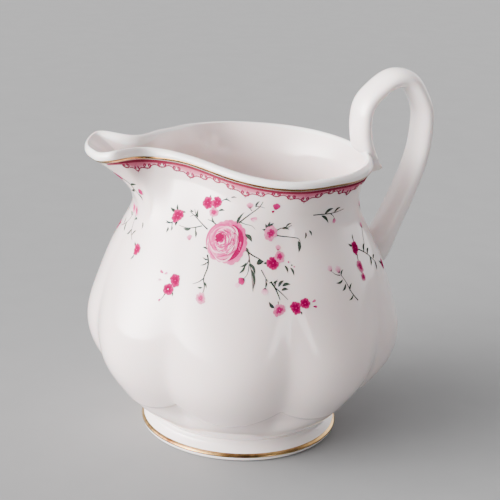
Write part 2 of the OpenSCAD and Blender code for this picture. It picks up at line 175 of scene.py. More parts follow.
def across(th):
    """Level direction out of the mouth, square to its outline."""
    d = mouth_xy(th + 0.4) - mouth_xy(th - 0.4)
    return unit(np.stack([d[..., 1], -d[..., 0]], -1))


def arrival(th, start, rise):
    """How the wall reaches the lip: drawn forward along the spout, leaning out elsewhere."""
    a = off_spout(th)
    k = smooth((a - 14) / 16)[..., None]
    lean = (0.35 + 0.35 * smooth((a - 50) / 40))[..., None]
    return (1 - k) * SPOUT_DRAW * (mouth_xy(th) - start) + k * lean * rise * across(th)


NECK_SLOPE = float((prof_r(NECK_Z) - prof_r(NECK_Z - 0.1)) / 0.1)


def skin(th, v, k=1.0):
    """Outer surface at angle th: v from 0 at the foot to 1 at the neck and 2 at the bottom of the lip."""
    th, v = np.broadcast_arrays(np.asarray(th, float), np.asarray(v, float))
    z = FOOT_H + (NECK_Z - FOOT_H) * np.minimum(v, 1)
    out = np.stack([np.cos(th * DEG), np.sin(th * DEG)], -1)
    r = prof_r(z) - k * groove_at(z) * lobe_wave(th) + k * petal_step(th, z)
    low = np.concatenate([r[..., None] * out, z[..., None]], -1)
    dz = (mouth_h(th) - lip_h(th) - NECK_Z)[..., None]
    dent = (k * groove_at(np.float64(NECK_Z)) * lobe_wave(th))[..., None]
    s = np.maximum(v - 1, 0)[..., None]
    xy = hermite((prof_r(NECK_Z) - dent) * out, NECK_SLOPE * dz * out,
                 mouth_xy(th) - 0.2 * dent * out, arrival(th, prof_r(NECK_Z) * out, dz), s)
    return np.where((v <= 1)[..., None], low, np.concatenate([xy, NECK_Z + dz * s], -1))


def normal(th, v, k=1.0, e=0.6):
    """Outward normal of the skin, from points e degrees to each side."""
    th, v = np.broadcast_arrays(np.asarray(th, float), np.asarray(v, float))
    a = skin(th + e, v, k) - skin(th - e, v, k)
    b = skin(th, np.minimum(v + 0.01, 2), k) - skin(th, np.maximum(v - 0.01, 0), k)
    return unit(np.cross(a, b))


def v_of(th, z):
    """The v at which the skin has the height z."""
    th, z = np.broadcast_arrays(np.asarray(th, float), np.asarray(z, float))
    return np.where(z <= NECK_Z, (z - FOOT_H) / (NECK_Z - FOOT_H),
                    1 + (z - NECK_Z) / (mouth_h(th) - lip_h(th) - NECK_Z))


def on_skin(th, v, lift):
    """Points at a distance above the skin."""
    return skin(th, v) + lift * normal(th, v)


def wall_at(th):
    """Wall thickness, a little less at the spout."""
    a = off_spout(th)
    return WALL * (1 - 0.2 * np.exp(-a * a / 250))


# ---- making pieces

def mesh_object(name, verts, faces, material):
    """An object from points in millimetres and arrays of faces."""
    me = bpy.data.meshes.new(name)
    faces = [np.asarray(f, np.int32) for f in faces if len(f)]
    loops = np.concatenate([f.ravel() for f in faces])
    sizes = np.concatenate([np.full(len(f), f.shape[1]) for f in faces])
    me.vertices.add(len(verts))
    me.vertices.foreach_set("co", (np.asarray(verts) * MM).astype(np.float32).ravel())
    me.loops.add(len(loops))
    me.loops.foreach_set("vertex_index", loops)
    me.polygons.add(len(sizes))
    me.polygons.foreach_set("loop_start", np.concatenate([[0], np.cumsum(sizes)[:-1]]).astype(np.int32))
    me.update(calc_edges=True)
    me.validate()
    me.shade_smooth()
    me.materials.append(material)
    obj = bpy.data.objects.new(name, me)
    bpy.context.scene.collection.objects.link(obj)
    return obj


def make(name, verts, faces, nodes, material, normals=None, tint=None):
    """A piece that rides on the frame in place of some of its nodes."""
    obj = mesh_object(name, verts, faces, material)
    if tint is not None:
        layer = obj.data.color_attributes.new("tint", "FLOAT_COLOR", "POINT")
        layer.data.foreach_set("color", np.c_[tint, np.ones(len(verts))].astype(np.float32).ravel())
    if normals is not None:
        obj.data.normals_split_custom_set_from_vertices(normals.tolist())
    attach(obj, "root")
    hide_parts(*nodes)


def grid_faces(rows, cols, start=0, closed=True):
    """Quads of a rows x cols grid of points, joined round the columns if closed."""
    j, i = np.meshgrid(np.arange(rows - 1), np.arange(cols if closed else cols - 1), indexing="ij")
    q = (i + 1) % cols
    quads = np.stack([j * cols + i, j * cols + q, (j + 1) * cols + q, (j + 1) * cols + i], -1)
    return start + quads.reshape(-1, 4)


def ring_faces(rows, cols):
    """Quads of a grid of points joined both round its columns and from its last row to its first."""
    return grid_faces(rows + 1, cols) % (rows * cols)


def fan_faces(ring_start, cols, mid, flip=False):
    """Triangles from a ring of points to one point in its middle."""
    i = np.arange(cols)
    f = np.stack([np.full(cols, mid), ring_start + (i + 1) % cols, ring_start + i], -1)
    return f[:, ::-1] if flip else f


def grid_normals(p):
    """Vertex normals of a grid closed round its columns, rows first."""
    across_cols = np.roll(p, -1, 1) - np.roll(p, 1, 1)
    n = np.cross(across_cols, np.gradient(p, axis=0))
    size = np.linalg.norm(n, axis=-1, keepdims=True)
    return n / np.maximum(size, 1e-12)


# ---- materials

class Nodes:
    """Builds one node tree. Settings are a node's own properties, input values or other nodes' outputs."""

    def __init__(self, tree):
        tree.nodes.clear()
        self.tree = tree

    def set(self, socket, value):
        if isinstance(value, bpy.types.NodeSocket):
            self.tree.links.new(value, socket)
        else:
            socket.default_value = value

    def add(self, kind, *inputs, **settings):
        """A node; inputs are pairs of input number and value, for sockets that share a name."""
        node = self.tree.nodes.new("ShaderNode" + kind)
        for key, value in settings.items():
            if key in node.bl_rna.properties:
                setattr(node, key, value)
            else:
                self.set(node.inputs[key.replace("_", " ")], value)
        for index, value in inputs:
            self.set(node.inputs[index], value)
        return node

    def noise(self, place, scale, detail, rough=0.5):
        return self.add("TexNoise", Vector=place, Scale=scale, Detail=detail, Roughness=rough).outputs["Fac"]

    def spread(self, value, low, high, **ends):
        """A value mapped to the range from low to high."""
        return self.add("MapRange", Value=value, To_Min=low, To_Max=high, **ends).outputs["Result"]

    def blend(self, share, a, b):
        """Colour a going over to colour b."""
        return self.add("Mix", (0, share), (6, a), (7, b), data_type="RGBA").outputs[2]

    def calc(self, operation, a, b):
        return self.add("Math", (0, a), (1, b), operation=operation).outputs[0]


def surface(name, **settings):
    """A new material, with its node builder, its shader and the place of each point in the object's frame."""
    mat = bpy.data.materials.new(name)
    mat.use_nodes = True
    n = Nodes(mat.node_tree)
    bsdf = n.add("BsdfPrincipled", **settings)
    n.add("OutputMaterial", Surface=bsdf.outputs["BSDF"])
    return mat, n, bsdf, n.add("TexCoord").outputs["Object"]


def glazed(name, base, deep, bare_below=None):
    """Porcelain: warm white body under clear glaze, with faint clouding and a barely uneven gloss.
    Below the height bare_below, in metres, it is wiped bare: dry, greyish biscuit with fine grit."""
    mat, n, bsdf, place = surface(name, IOR=1.5, Coat_Weight=0.6, Coat_Roughness=0.03,
                                  Subsurface_Weight=0.25, Subsurface_Scale=0.0012)
    cloud = n.noise(place, 38.0, 4.0, 0.55)
    colour = n.blend(cloud, (*deep, 1), (*base, 1))
    rough = n.spread(n.noise(place, 160.0, 2.0), 0.12, 0.2)
    if bare_below is not None:
        height = n.add("SeparateXYZ", Vector=place).outputs["Z"]
        wiped = n.spread(height, 0.0, 1.0, From_Min=bare_below * 1.25, From_Max=bare_below * 0.75)
        biscuit = n.blend(n.noise(place, 900.0, 3.0), (0.62, 0.59, 0.55, 1), (0.76, 0.73, 0.69, 1))
        colour = n.blend(wiped, colour, biscuit)
        rough = n.spread(wiped, 0.15, 0.8)
    ripple = n.add("Bump", Strength=0.035, Distance=0.0004, Height=cloud)
    n.set(bsdf.inputs["Base Color"], colour)
    n.set(bsdf.inputs["Roughness"], rough)
    n.set(bsdf.inputs["Normal"], ripple.outputs["Normal"])
    return mat


def gilded(name, dark, bright):
    """Fired gold: thin, with soft brush streaks and an uneven polish. Its colour runs in streaks and sweeps
    from dark to bright, partly the gilding's own unevenness and partly painted reflection: the near-black
    dark stands in for dark surroundings seen in the gold.
    """
    mat, n, bsdf, place = surface(name, Metallic=1.0)
    streak = n.noise(place, 120.0, 5.0, 0.65)
    sweep = n.noise(place, 34.0, 1.0)
    # Brush streaks mixed with broad sweeps: through the ramp this paints dark and light reflections into the
    # gold's colour.
    streaks_and_painted_reflection = n.add("Mix", (0, 0.55), (2, streak), (3, sweep), data_type="FLOAT")
    ramp = n.add("ValToRGB", Fac=streaks_and_painted_reflection.outputs[0])
    for stop, position, colour in zip(ramp.color_ramp.elements, (0.4, 0.6), (dark, bright)):
        stop.position = position
        stop.color = (*colour, 1)
    n.set(bsdf.inputs["Base Color"], ramp.outputs["Color"])
    n.set(bsdf.inputs["Roughness"], n.spread(streak, 0.3, 0.12))
    return mat


def printed(name):
    """Matt transfer ink: colour from each shape's tint, finely mottled."""
    mat, n, bsdf, place = surface(name, Roughness=0.4, Specular_IOR_Level=0.0)
    tint = n.add("Attribute", attribute_name="tint").outputs["Color"]
    ink = n.spread(n.noise(place, 1600.0, 3.0, 0.6), 0.8, 1.2)
    mottled = n.add("VectorMath", (0, tint), operation="SCALE", Scale=ink)
    n.set(bsdf.inputs["Base Color"], mottled.outputs["Vector"])
    return mat


body_glaze = glazed("porcelain_glaze", (0.9, 0.788, 0.772), (0.865, 0.742, 0.727))
lip_glaze = glazed("lip_glaze", (0.885, 0.86, 0.85), (0.86, 0.83, 0.817))
handle_glaze = glazed("handle_glaze", (0.9, 0.83, 0.82), (0.87, 0.795, 0.785))
foot_glaze = glazed("foot_glaze", (0.88, 0.81, 0.795), (0.845, 0.765, 0.75), bare_below=0.0003)
# The first, dark colour of each gold is a painted dark reflection, near black on the rim.
foot_bright_gold = gilded("foot_bright_gold", (0.1, 0.04, 0.014), (0.78, 0.5, 0.2))
rim_bright_gold = gilded("rim_bright_gold", (0.045, 0.016, 0.01), (0.5, 0.27, 0.105))
print_ink = printed("transfer_print")


# ---- body and lip

# Points round the jug, closer together round the spout.
AROUND = 400
even = 360 * np.arange(AROUND) / AROUND
turns = even + 36 * np.sin(even * DEG) - 4 * np.sin(2 * even * DEG)

PETAL_ROWS, LOW_ROWS, HIGH_ROWS, LIP_ROWS, IN_ROWS, FLOOR_ROWS = 64, 76, 52, 16, 60, 22
INNER_LOBE, FLOOR_Z, TURN_IN_V, BASE_DISH = 0.5, FOOT_H + WALL, 0.13, 0.25
MIDDLE = np.array([0, 0, FLOOR_Z])


def outer_wall():
    """Rows of points from the foot to the lip, closest together over the petal edges."""
    petal_v = (PETAL_CUSP_Z + 2 - FOOT_H) / (NECK_Z - FOOT_H)
    v = np.concatenate([np.linspace(0, petal_v, PETAL_ROWS, endpoint=False),
                        np.linspace(petal_v, 1, LOW_ROWS, endpoint=False), np.linspace(1, 2, HIGH_ROWS + 1)])
    rows = skin(turns[None], v[:, None])
    ease = np.exp(-((v[1:-1] - 1) / 0.25) ** 2)[:, None, None]
    for _ in range(10):  # eases the change of curvature at the neck
        rows[1:-1] += ease * (0.25 * rows[:-2] - 0.5 * rows[1:-1] + 0.25 * rows[2:])
    return rows


def inner_wall():
    """Rows of points from the lip down to the floor, one wall thickness inside a softer set of lobes."""
    v = np.linspace(2, TURN_IN_V, IN_ROWS)[:, None]
    rows = (skin(turns[None], v, INNER_LOBE)
            - wall_at(turns)[None, :, None] * normal(turns[None], v, INNER_LOBE, 3))
    for _ in range(8):
        rows[1:-1] = 0.25 * rows[:-2] + 0.5 * rows[1:-1] + 0.25 * rows[2:]
    return rows


def rolled_lip(outer, inner):
    """From the wall's own direction, over a rounded top, into the inner wall."""
    a, b = outer[-1], inner[0]
    lean_out = unit(unit(outer[-1] - outer[-3]) + [0, 0, 0.8])
    lean_in = unit(inner[2] - inner[0])
    over = (b - a) * [1, 1, 0]
    top = (a + b) / 2
    top[:, 2] = mouth_h(turns)
    rise, half = (top - a)[:, 2:], np.linalg.norm(over, axis=1)[:, None] / 2
    s = (np.arange(1, LIP_ROWS + 1) / LIP_ROWS)[:, None, None]
    up = hermite(a, lean_out * rise * 1.6, top, unit(over) * half * 1.7, s)
    down = hermite(top, unit(over) * half * 1.7, b, lean_in * (top - b)[:, 2:] * 1.6, s)
    return np.concatenate([up, down[:-1]])


def inner_floor(inner):
    """One soft bowl from the end of the wall towards the middle."""
    edge = inner[-1]
    inward = unit(inner[-1] - inner[-2]) * np.linalg.norm(edge[:, :2], axis=1)[:, None] * 0.75
    s = (np.arange(1, FLOOR_ROWS) / FLOOR_ROWS)[:, None, None]
    return hermite(edge, inward, MIDDLE, edge * [-1.1, -1.1, 0], s)


def build_body():
    """The body and the lip, cut from one column of rows so that their shading runs on across the seam."""
    outer, inner = outer_wall(), inner_wall()
    lip = rolled_lip(outer, inner)
    column = np.concatenate([outer, lip, inner, inner_floor(inner)])
    column_n = grid_normals(column)
    n_out, n_lip = len(outer), len(lip)
    inside, inside_n = column[n_out + n_lip:], column_n[n_out + n_lip:]
    base_rings = np.stack([outer[0] * [f, f, 1] + [0, 0, BASE_DISH * (1 - f)]
                           for f in (1, 0.9, 0.75, 0.5, 0.25)])
    verts = np.concatenate([outer.reshape(-1, 3), inside.reshape(-1, 3), [MIDDLE],
                            base_rings.reshape(-1, 3), [[0, 0, FOOT_H + BASE_DISH]]])
    normals = np.concatenate([column_n[:n_out].reshape(-1, 3), inside_n.reshape(-1, 3), [[0, 0, 1]],
                              np.tile([0, 0, -1], (len(base_rings) * AROUND + 1, 1))])
    m = n_out * AROUND
    floor_mid = m + len(inside) * AROUND
    base = floor_mid + 1
    faces = [grid_faces(n_out, AROUND), grid_faces(len(inside), AROUND, m),
             grid_faces(len(base_rings), AROUND, base)[:, ::-1],
             fan_faces(floor_mid - AROUND, AROUND, floor_mid, flip=True),
             fan_faces(base + (len(base_rings) - 1) * AROUND, AROUND, base + len(base_rings) * AROUND)]
    make("body_shell", verts, faces, ["jug_body"], body_glaze, normals)
    first, last = n_out - 1, n_out + n_lip + 1
    rows = column[first:last]
    make("lip_roll", rows.reshape(-1, 3), [grid_faces(len(rows), AROUND)], ["rim_lip"],
         lip_glaze, column_n[first:last].reshape(-1, 3))


build_body()


# ---- foot

TURNED, GOLD_T = 320, 0.14
FOOT_GOLD_Z, FOOT_GOLD_W = 1.25, 1.1


def revolve(points, name, nodes, material):
    """A turned ring from a closed outline of [radius, height] points."""
    p = np.asarray(points, float)
    ang = 2 * math.pi * np.arange(TURNED) / TURNED
    ring = np.stack([p[:, None, 0] * np.cos(ang), p[:, None, 0] * np.sin(ang),
                     np.broadcast_to(p[:, None, 1], (len(p), TURNED))], -1)
    make(name, ring.reshape(-1, 3), [ring_faces(len(p), TURNED)[:, ::-1]], nodes, material)


foot_side = through([[BASE_R - 0.6, FOOT_H + 0.2], [BASE_R + 0.1, FOOT_H - 0.1], [FOOT_R - 2.4, FOOT_H - 0.6],
                     [FOOT_R - 2.3, FOOT_H * 0.78], [FOOT_R - 1.6, FOOT_H * 0.6],
                     [FOOT_R - 0.6, FOOT_H * 0.42], [FOOT_R - 0.02, 1.7], [FOOT_R, 0.95],
                     [FOOT_R - 0.35, 0.3], [FOOT_R - 1.1, 0.02]], 44)


def build_foot():
    """A concave side, a flat resting ring and a hollow underneath."""
    under = through([[FOOT_R - 1.1, 0.02], [FOOT_R - 2.6, 0.02], [FOOT_R - 3.9, 0.5], [FOOT_BORE + 0.3, 1.7],
                     [FOOT_BORE - 0.1, 3.2], [FOOT_BORE - 0.8, FOOT_H + 0.4]], 30)
    outline = np.concatenate([foot_side, under[1:]])
    outline[:, 1] = np.maximum(outline[:, 1], 0)
    revolve(outline, "foot_turned", ["foot_ring"], foot_glaze)


def build_foot_gold():
    """A low rounded band that follows the side of the foot."""
    rising = foot_side[::-1][6:]
    side_at = spline(rising[:, 1], rising[:, 0])
    band = []
    for share, lift in ((0, -0.1), (0.06, 0.5), (0.25, 0.95), (0.5, 1), (0.75, 0.95), (0.94, 0.5), (1, -0.1)):
        height = FOOT_GOLD_Z + FOOT_GOLD_W * share
        band.append([float(side_at(height)[0]) + GOLD_T * lift, height])
    band += [[band[-1][0] - 0.2, band[-1][1]], [band[0][0] - 0.2, band[0][1]]]
    revolve(band[::-1], "foot_gilding", ["foot_gold_line"], foot_bright_gold)


build_foot()
build_foot_gold()


# ---- handle

STRAP_W, STRAP_T, LOOP_TOP, LOOP_REACH, RING = 11.6, 5.7, 108.6, 57.2, 64
HANDLE_ROWS, STRAP_ROUND, JOINT_TUCK, JOINT_SINK = 300, 0.9, 3.1, 0.5
LOW_Z, LOW_H, LOW_W = 52.9, 5.2, 6.3
in_x, in_z = LOOP_REACH - STRAP_T / 2, LOOP_TOP - STRAP_T / 2
spine_points = [
    [MOUTH_R + 0.2, MOUTH_Z - 2], [MOUTH_R - 0.6, MOUTH_Z + 1.2], [MOUTH_R - 1.4, MOUTH_Z + 5],
    [MOUTH_R - 1.6, MOUTH_Z + 9], [MOUTH_R - 0.7, MOUTH_Z + 13.6], [MOUTH_R + 2.6, in_z - 3.8],
    [MOUTH_R + 7.4, in_z - 0.5], [MOUTH_R + 12.3, in_z - 0.8], [in_x - 3, in_z - 4.4],
    [in_x - 0.6, in_z - 9.6], [in_x - 0.2, MOUTH_Z + 5.4], [in_x - 0.9, MOUTH_Z - 1.6],
    [in_x - 3.0, MOUTH_Z - 9], [in_x - 5.7, MOUTH_Z - 16], [in_x - 8.5, MOUTH_Z - 22.6]]
spine_curve = spline(np.linspace(0, 1, len(spine_points)), spine_points)


def spine_dir(u):
    return unit(spine_curve(np.minimum(u + 0.01, 1)) - spine_curve(np.maximum(u - 0.01, 0)))


def soft(x, p):
    """A sine or cosine made squarer (p under 1), for the rounded sections of the handle."""
    return np.sign(x) * np.abs(x) ** p


ring_a = 2 * math.pi * np.arange(RING) / RING


def strap_ring(u):
    """Section of the strap at the share u of its length, a little fuller at both ends."""
    c, d = spine_curve(np.float64(u)), spine_dir(np.float64(u))
    w = STRAP_W * (1 + 0.04 * (1 - u) ** 8 + 0.06 * u ** 6) / 2
    q = STRAP_T * (0.95 + 0.1 * (1 - u) ** 10 - 0.05 * u + 0.22 * u ** 4) / 2 * soft(np.cos(ring_a), 0.95)
    return np.stack([c[0] - d[1] * q, w * soft(np.sin(ring_a), STRAP_ROUND), c[1] + d[0] * q], -1)


def skin_x(y, z):
    """Distance of the outer surface from the YZ plane on the handle side."""
    ang = np.degrees(np.arcsin(np.clip(y / NECK_R, -1, 1)))
    for _ in range(3):
        r = np.linalg.norm(skin(ang, v_of(ang, z))[..., :2], axis=-1)
        ang = np.degrees(np.arcsin(np.clip(y / r, -1, 1)))
    return np.sqrt(r * r - y * y)


# Upper joint: height from the mouth, outer reach, half width.
joint_rows = spline(range(9), [
    [-8.8, -0.5, 0.8], [-8.0, 0.9, 1.1], [-7.3, 3.2, 1.3], [-6.8, 5.4, 1.5], [-6.1, 6.4, 1.8],
    [-5.2, 5.9, 2.6], [-4.2, 5.2, 3.6], [-3.2, 4.5, 4.6], [-2.2, 3.9, 5.5]])


def joint_ring(q):
    """Level section of the upper joint, its back tucked into the neck or, near the top, under the lip."""
    h, tip, w = joint_rows(np.float64(q))
    z, ang = MOUTH_Z + h, ring_a + math.pi
    y = w * soft(np.sin(ring_a), STRAP_ROUND)
    if z > MOUTH_Z - JOINT_TUCK:
        root = np.full(RING, MOUTH_R - 0.6)
    else:
        root = skin_x(y, np.float64(z)) - JOINT_SINK
    grow = np.maximum(MOUTH_R + tip - root, 0.3)
    x = np.where(np.cos(ang) > 0.001, root + grow * np.abs(np.cos(ang)) ** 0.7, root)
    return np.stack([x, y, np.full(RING, z)], -1)


def shoulder_ring(lift):
    """Outline of the lower joint on the shoulder, and the skin's normals there."""
    z, y = LOW_Z - LOW_H * np.cos(ring_a), LOW_W * np.sin(ring_a)
    th = np.degrees(np.arctan2(y, skin_x(y, z)))
    return on_skin(th, v_of(th, z), lift), normal(th, v_of(th, z))


def low_ring(s):
    """Section of the lower joint, spreading from the end of the strap (s = 0) on to the shoulder (s = 1)."""
    start = strap_ring(1)
    end, n = shoulder_ring(-0.35)
    run, drop = spine_dir(np.float64(1))
    gap = np.linalg.norm(end - start, axis=1)[:, None]
    p, q, left = start + np.array([run, 0, drop]) * gap * 0.45, end + n * gap * 0.28, 1 - s
    return left ** 3 * start + 3 * left * left * s * p + 3 * left * s * s * q + s ** 3 * end


def build_handle():
    """Control rings run from the spur up the joint, round the loop and down to the shoulder."""
    rings = [joint_ring(q) for q in np.linspace(0, 8, 17)]
    rings += [strap_ring(u) for u in np.linspace(0.07, 1, 46)]
    rings += [low_ring(s) for s in (0.2, 0.4, 0.6, 0.8, 0.92, 1)]
    rings = np.array(rings)
    mids = rings.mean(1)
    along = np.concatenate([[0], np.cumsum(np.linalg.norm(np.diff(mids, axis=0), axis=1) + 0.15)])
    fine = spline(along, rings.reshape(len(rings), -1))(np.linspace(0, along[-1], HANDLE_ROWS))
    fine = fine.reshape(-1, RING, 3)
    verts = np.concatenate([fine.reshape(-1, 3), [fine[0].mean(0)], [fine[-1].mean(0) - [1, 0, 0]]])
    n = len(fine) * RING
    faces = [grid_faces(len(fine), RING), fan_faces(0, RING, n), fan_faces(n - RING, RING, n + 1, flip=True)]
    make("handle_loop", verts, faces,
         ["handle_strap", "handle_top_joint", "handle_low_joint"], handle_glaze)


build_handle()


# ---- gold line on the rim

RIM_GOLD_W = 0.75


def below_lip(th, drop):
    """The v of a line a little below the bottom of the lip."""
    return 2 - drop / (mouth_h(th) - lip_h(th) - NECK_Z)


def build_rim_gold():
    """A thin rounded band; its rows are given as the share of its width and the lift above the skin."""
    rows = [(1, -0.12), (0.96, 0.06), (0.8, 0.1), (0.5, 0.12), (0.2, 0.1), (0.05, 0.06), (0, -0.12),
            (0.5, -0.2)]
    ring = np.stack([on_skin(turns, below_lip(turns, RIM_GOLD_W * share), lift) for share, lift in rows])
    make("rim_gilding", ring.reshape(-1, 3), [ring_faces(len(rows), AROUND)], ["rim_gold_line"],
         rim_bright_gold)


build_rim_gold()


# ---- printed decoration

# Inks, as linear colours.
CRIMSON = (0.24, 0.0, 0.055)
DEEP = (0.27, 0.001, 0.065)
FUCHSIA = (0.38, 0.008, 0.11)
ROSE_PINK = (0.47, 0.025, 0.16)
PINK = (0.62, 0.09, 0.26)
PALE = (0.76, 0.31, 0.45)
BLUSH = (0.83, 0.55, 0.63)
LEAF_DARK = (0.012, 0.022, 0.017)
LEAF_MID = (0.035, 0.05, 0.04)
LEAF_PALE = (0.11, 0.135, 0.11)
STEM_INK = (0.03, 0.038, 0.03)
DARK_ROSE = (0.19, 0.022, 0.045)
DUSK_ROSE = (0.27, 0.03, 0.075)
DUSTY_ROSE = (0.42, 0.08, 0.14)
DUSTY_PINK = (0.56, 0.17, 0.255)
DUSTY_PALE = (0.66, 0.3, 0.38)

# Mean radius under the prints, how much broader than stated the stems are drawn, and the flowers' scale.
PRINT_R, PEN, BLOOM = 36.5, 1.8, 1.12


def blend_ink(a, b, t):
    t = np.asarray(t, float)[..., None]
    return np.asarray(a) * (1 - t) + np.asarray(b) * t


def looks_in(pts, face):
    """Whether a face faces the axis of the jug."""
    a, b, c = pts[face[0]], pts[face[1]], pts[face[2]]
    return np.dot(np.cross(b - a, c - a), [a[0], a[1], 0]) < 0


class Print:
    """Thin printed shapes collected into one piece. A place is an angle, counted from the handle round the
    front to the spout, and a height; offsets are in millimetres. A side over 0 mirrors all to the back."""

    def __init__(self, side):
        self.side, self.verts, self.tris, self.quads, self.tints, self.count = side, [], [], [], [], 0

    def place(self, ang, z, dx, dz, lift):
        """Points at sideways offset dx and height offset dz from a place, just proud of the glaze."""
        ang, z = -ang, np.clip(z + dz, FOOT_H + 1, 89)
        v = np.minimum(v_of(ang, z), 2)
        r = np.linalg.norm(skin(ang, v)[..., :2], axis=-1)
        th = ang + dx / r / DEG
        return on_skin(th, np.minimum(v_of(th, z), 2), lift)

    def add(self, pts, quads, tints, tris=()):
        """Keeps the points and faces of one shape."""
        pts = pts.copy()
        if self.side > 0:
            pts[:, 1] *= -1
        self.verts.append(pts)
        self.tints.append(np.asarray(tints, float))
        for faces, kept in ((quads, self.quads), (tris, self.tris)):
            if len(faces):
                f = np.asarray(faces) + self.count
                kept.append(f[:, ::-1] if self.side > 0 else f)
        self.count += len(pts)

    def sheet_of(self, ang, z, rows, tints, lift):
        """A strip of rows of [dx, dz] points, all rows the same length."""
        rows = np.asarray(rows, float)
        m, n = rows.shape[:2]
        pts = self.place(ang, z, rows[..., 0], rows[..., 1], lift).reshape(-1, 3)
        faces = grid_faces(m, n, closed=False)
        if looks_in(pts, faces[len(faces) // 2]):
            faces = faces[:, ::-1]
        self.add(pts, faces, np.asarray(tints, float).reshape(-1, 3))

    def ribbon(self, ang, z, line, widths, ink, lift=0.05, ink_end=None):
        """A line of [dx, dz] points drawn with a pen of varying width."""
        p = np.asarray(line, float)
        d = unit(np.gradient(p, axis=0) + 1e-9)
        side = np.stack([-d[:, 1], d[:, 0]], -1) * (np.asarray(widths, float)[:, None] / 2)
        rows = np.stack([p + side, p - side], 1)
        shade = blend_ink(ink, ink if ink_end is None else ink_end, np.linspace(0, 1, len(p)))
        self.sheet_of(ang, z, rows, np.repeat(shade[:, None], 2, 1), lift)

    def stem(self, places, width, end_ink=None):
        """A tapering stem through several places."""
        ang0, z0 = places[0]
        line = [[(ang0 - a) * DEG * PRINT_R, z - z0] for a, z in places]
        count = max(6, int(np.linalg.norm(np.diff(line, axis=0), axis=1).sum() / 0.45))
        self.ribbon(ang0, z0, through(line, count), PEN * width * np.linspace(1, 0.45, count), STEM_INK, 0.05,
                    end_ink)

    def leaf(self, ang, z, tip_ang, tip_z, width, ink=LEAF_MID):
        """A pointed, slightly bent leaf from base to tip, dark along one edge, with a paler midrib."""
        d = np.array([(ang - tip_ang) * DEG * PRINT_R, tip_z - z])
        length = np.linalg.norm(d)
        d = d / length
        n = np.array([-d[1], d[0]])
        t = np.linspace(0, 1, 9)
        half = width / 2 * np.sin(math.pi * t ** 0.8) ** 0.9
        mid = t[:, None] * d * length + (0.12 * length * np.sin(math.pi * t))[:, None] * n
        rows = np.stack([mid + half[:, None] * n, mid, mid - half[:, None] * n], 1)
        tints = np.tile([LEAF_DARK, blend_ink(ink, LEAF_PALE, 0.3), ink], (len(t), 1, 1))
        self.sheet_of(ang, z, rows, tints, 0.06)

    def leaves(self, *rows):
        for row in rows:
            self.leaf(*row)

    def petal(self, ang, z, dx, dz, turn, length, width, inner_ink, outer_ink, lift=0.07, notch=0.08,
              rim=None):
        """One petal from its root outward: narrow at the root, full and faintly notched at the end."""
        t = np.linspace(0, 1, 6)[:, None]
        k = np.linspace(-1, 1, 7)[None]
        reach = length * (t * (1 - 0.22 * k * k * t) - notch * t * (1 - np.abs(k)) ** 2)
        wide = width / 2 * k * (0.25 + 0.75 * np.sin(math.pi / 2 * t ** 0.8)) * (1 - 0.1 * t)
        ca, sa = math.cos(turn * DEG), math.sin(turn * DEG)
        rows = np.stack([dx + reach * ca - wide * sa, dz + reach * sa + wide * ca], -1)
        tints = blend_ink(inner_ink, outer_ink, np.broadcast_to(t ** 0.8, rows.shape[:2]))
        if rim is not None:
            edge = np.clip(np.maximum(np.abs(k) * (t > 0.3), t) - 0.78, 0, 0.22)[..., None] / 0.22
            tints = tints * (1 - 0.8 * edge) + np.asarray(rim) * 0.8 * edge
        self.sheet_of(ang, z, rows, tints, lift)

    def dot(self, ang, z, dx, dz, r, ink, lift=0.09):
        """A round dot of ten triangles."""
        a = 2 * math.pi * np.arange(10) / 10
        offs = np.concatenate([[[0, 0]], np.stack([r * np.cos(a), r * np.sin(a)], -1)]) + [dx, dz]
        pts = self.place(ang, z, offs[:, 0], offs[:, 1], lift)
        tris = [[0, 1 + i, 1 + (i + 1) % 10] for i in range(10)]
        if looks_in(pts, tris[0]):
            tris = [f[::-1] for f in tris]
        self.add(pts, (), np.tile(ink, (11, 1)), tris)

    def blossom(self, ang, z, size, ink=CRIMSON, edge=FUCHSIA, turn=0, petals=5, heart=ROSE_PINK):
        """A small open flower: uneven rounded petals, darker towards the heart, with a few stamen dots."""
        size *= BLOOM
        for i in range(petals):
            g = turn + 360 / petals * i + rng.uniform(-14, 14)
            reach = size * rng.uniform(0.78, 1.08)
            shade = rng.uniform(0, 0.55)
            self.petal(ang, z, 0, 0, g, reach, size * rng.uniform(0.95, 1.2), blend_ink(ink, DEEP, shade),
                       blend_ink(edge, ink, shade), 0.07 + 0.004 * i, 0.16, rim=blend_ink(edge, PINK, 0.6))
            self.petal(ang, z, 0, 0, g + rng.uniform(-8, 8), reach * 0.6, size * 0.4, CRIMSON, ink, 0.1)
        self.dot(ang, z, 0, 0, size * 0.09, heart, 0.115)
        for i in range(petals):
            g, out = (turn + 36 + 360 / petals * i) * DEG, size * 0.27
            self.dot(ang, z, out * math.cos(g), out * math.sin(g), size * 0.05, CRIMSON, 0.12)

    def bud(self, ang, z, turn, size, ink=ROSE_PINK, edge=PALE, calyx=True):
        """A closed bud: three overlapping petals above a small green calyx."""
        for g, k in ((-24, 0.9), (24, 0.9), (0, 1)):
            self.petal(ang, z, 0, 0, turn + g, size * k, size * 0.62, ink, edge, 0.07 + 0.006 * k, 0.05)
        if calyx:
            for g in (-40, 40):
                ca, sa = math.cos((turn + g) * DEG), math.sin((turn + g) * DEG)
                line = through([[0, 0], [0.3 * size * ca, 0.3 * size * sa]], 5)
                self.ribbon(ang, z, line, np.linspace(0.16, 0.05, 5) * size, LEAF_MID, 0.09)

    def done(self, name, node):
        """Makes the piece from all its shapes."""
        faces = [np.concatenate(f) for f in (self.quads, self.tris) if f]
        make(name, np.concatenate(self.verts), faces, [node], print_ink,
             tint=np.concatenate(self.tints))


